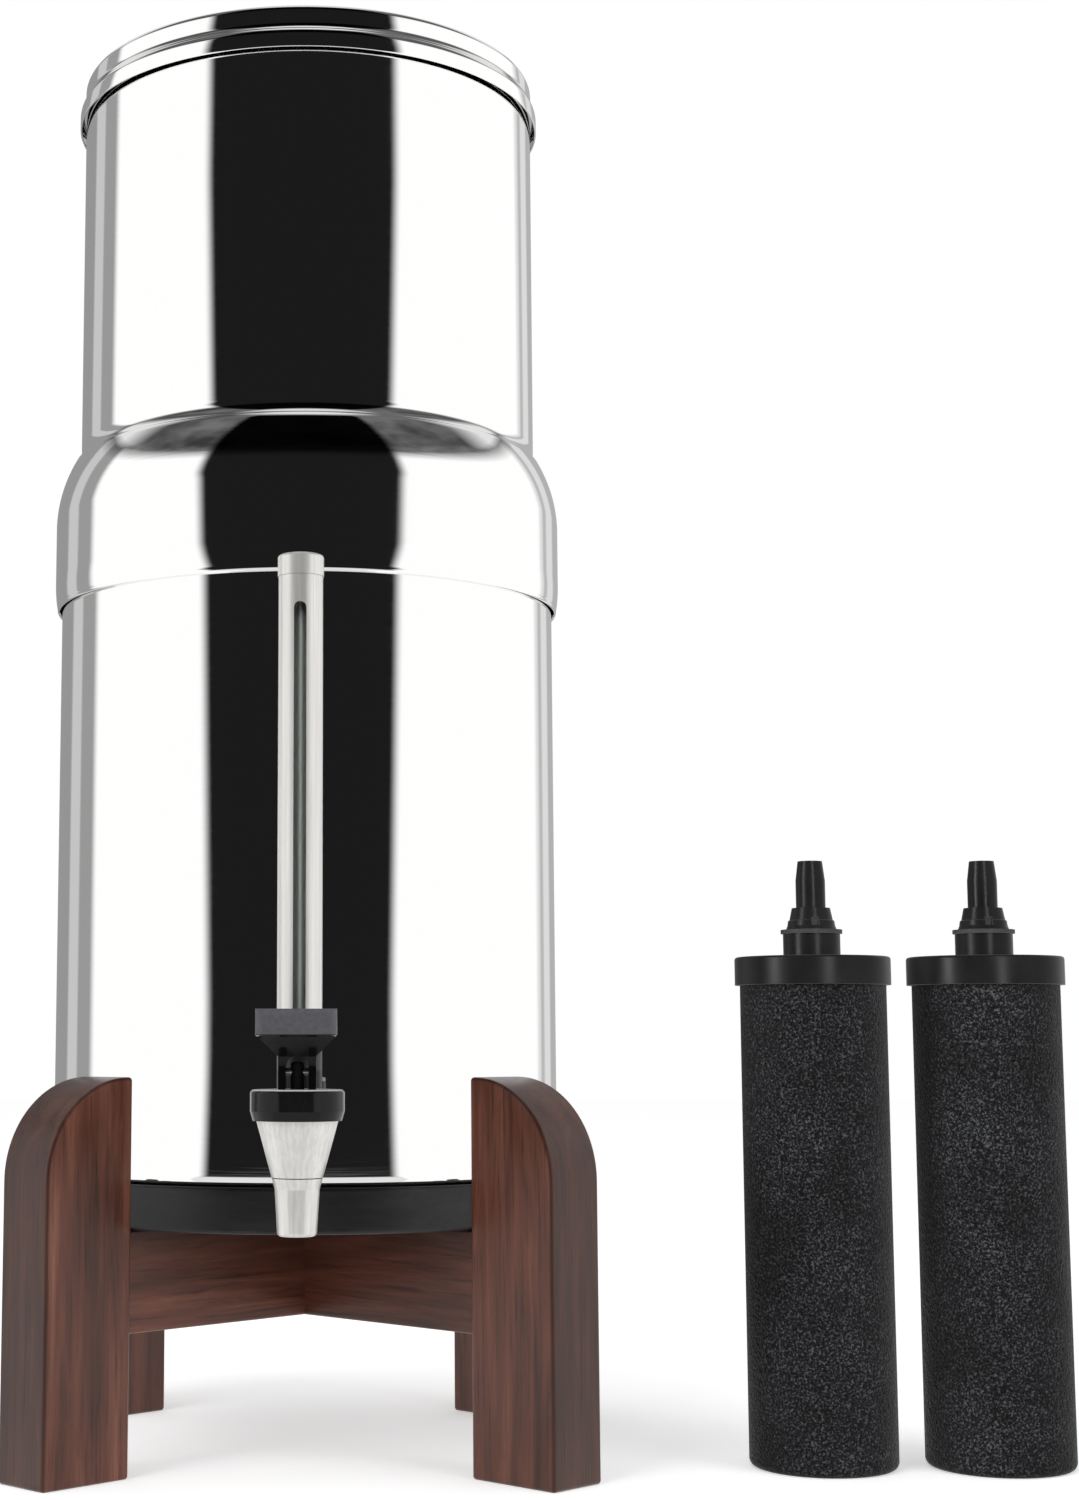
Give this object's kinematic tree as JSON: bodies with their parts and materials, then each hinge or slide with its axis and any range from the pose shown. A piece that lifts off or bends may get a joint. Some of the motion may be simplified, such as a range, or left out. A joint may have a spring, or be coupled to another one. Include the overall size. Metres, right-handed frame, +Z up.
{
  "type": "gravity water filter",
  "caption": "Polished steel gravity water filter with lid, stacked chambers, tap with sight glass, cross-braced wooden stand and spare black filter elements beside it.",
  "frame": {"origin": "on the chambers' common axis, in the plane of the stand's feet", "axes": "+Z up, -Y the front with the tap, +X to the right, where the spare elements stand"},
  "size_m": [0.4279, 0.2919, 0.6235],
  "materials": {
    "polished_steel": "mirror-polished stainless steel",
    "brushed_steel": "fine lengthwise brushing",
    "plain_steel": "plain",
    "black_plastic": "glossy moulded black",
    "black_rubber": "matte",
    "clear_glass": "clear",
    "filter_carbon": "granular black carbon block",
    "walnut": "dark reddish stained, satin",
    "dark_board": "black stained, satin",
    "dowel_wood": "plain beech"
  },
  "bodies": {
    "stand": {"stand_beam_lower": "walnut", "stand_beam_upper": "walnut", "stand_board": "dark_board", "stand_board_screws": "plain_steel", "stand_dowels": "dowel_wood", "stand_leg_back_left": "walnut", "stand_leg_back_right": "walnut", "stand_leg_front_left": "walnut", "stand_leg_front_right": "walnut"},
    "lower_vessel": {"lower_chamber": "polished_steel", "shank_inner_washer": "black_rubber", "shank_lock_nut": "plain_steel", "shank_outer_washer": "black_rubber", "sight_glass_cap": "brushed_steel", "sight_glass_guard": "brushed_steel", "sight_glass_seal": "black_rubber", "sight_glass_tee": "black_plastic", "sight_glass_tube": "clear_glass", "tap_body": "brushed_steel", "tap_bonnet": "black_plastic", "tap_spring": "plain_steel"},
    "upper_vessel": {"blanking_plug_nuts": "black_plastic", "blanking_plugs": "black_plastic", "fitted_element_1_base": "black_plastic", "fitted_element_1_body": "filter_carbon", "fitted_element_1_nut": "black_plastic", "fitted_element_1_washer": "black_rubber", "fitted_element_2_base": "black_plastic", "fitted_element_2_body": "filter_carbon", "fitted_element_2_nut": "black_plastic", "fitted_element_2_washer": "black_rubber", "upper_chamber": "polished_steel", "upper_chamber_floor": "polished_steel"},
    "lid_assembly": {"lid": "polished_steel", "lid_knob": "black_plastic", "lid_knob_screw": "plain_steel", "lid_knob_washer": "plain_steel"},
    "valve_stem": {"tap_valve_stem": "black_plastic", "tap_seat_cup": "black_rubber", "tap_lever_pin": "plain_steel"},
    "tap_handle": {"tap_lever": "black_plastic"},
    "spare_element_1": {"spare_element_1_base": "black_plastic", "spare_element_1_body": "filter_carbon", "spare_element_1_nut": "black_plastic", "spare_element_1_washer": "black_rubber"},
    "spare_element_2": {"spare_element_2_base": "black_plastic", "spare_element_2_body": "filter_carbon", "spare_element_2_nut": "black_plastic", "spare_element_2_washer": "black_rubber"}
  },
  "joints": [
    {"name": "vessel_lift", "type": "slide", "parent": "stand", "child": "lower_vessel", "axis": [0, 0, 1], "range_m": [0, 0.08]},
    {"name": "upper_lift", "type": "slide", "parent": "lower_vessel", "child": "upper_vessel", "axis": [0, 0, 1], "range_m": [0, 0.12]},
    {"name": "lid_lift", "type": "slide", "parent": "upper_vessel", "child": "lid_assembly", "axis": [0, 0, 1], "range_m": [0, 0.1]},
    {"name": "stem_lift", "type": "slide", "parent": "lower_vessel", "child": "valve_stem", "axis": [0, 0, 1], "range_m": [0, 0.0024], "stiffness_N_per_m": 40, "springref_m": -0.005, "deforming": ["tap_spring"]},
    {"name": "lever_pull", "type": "hinge", "parent": "valve_stem", "child": "tap_handle", "pos_m": [0, -0.15, 0.158], "axis": [1, 0, 0], "range_deg": [0, 25], "stiffness_Nm_per_rad": 0.0005, "springref_deg": -68.75},
    {"name": "spare_1_lift", "type": "slide", "parent": "stand", "child": "spare_element_1", "axis": [0, 0, 1], "range_m": [0, 0.1]},
    {"name": "spare_2_lift", "type": "slide", "parent": "stand", "child": "spare_element_2", "axis": [0, 0, 1], "range_m": [0, 0.1]}
  ],
  "couplings": [
    {"joint": "lever_pull", "follows": "stem_lift", "rad_per_m": 181.8}
  ]
}
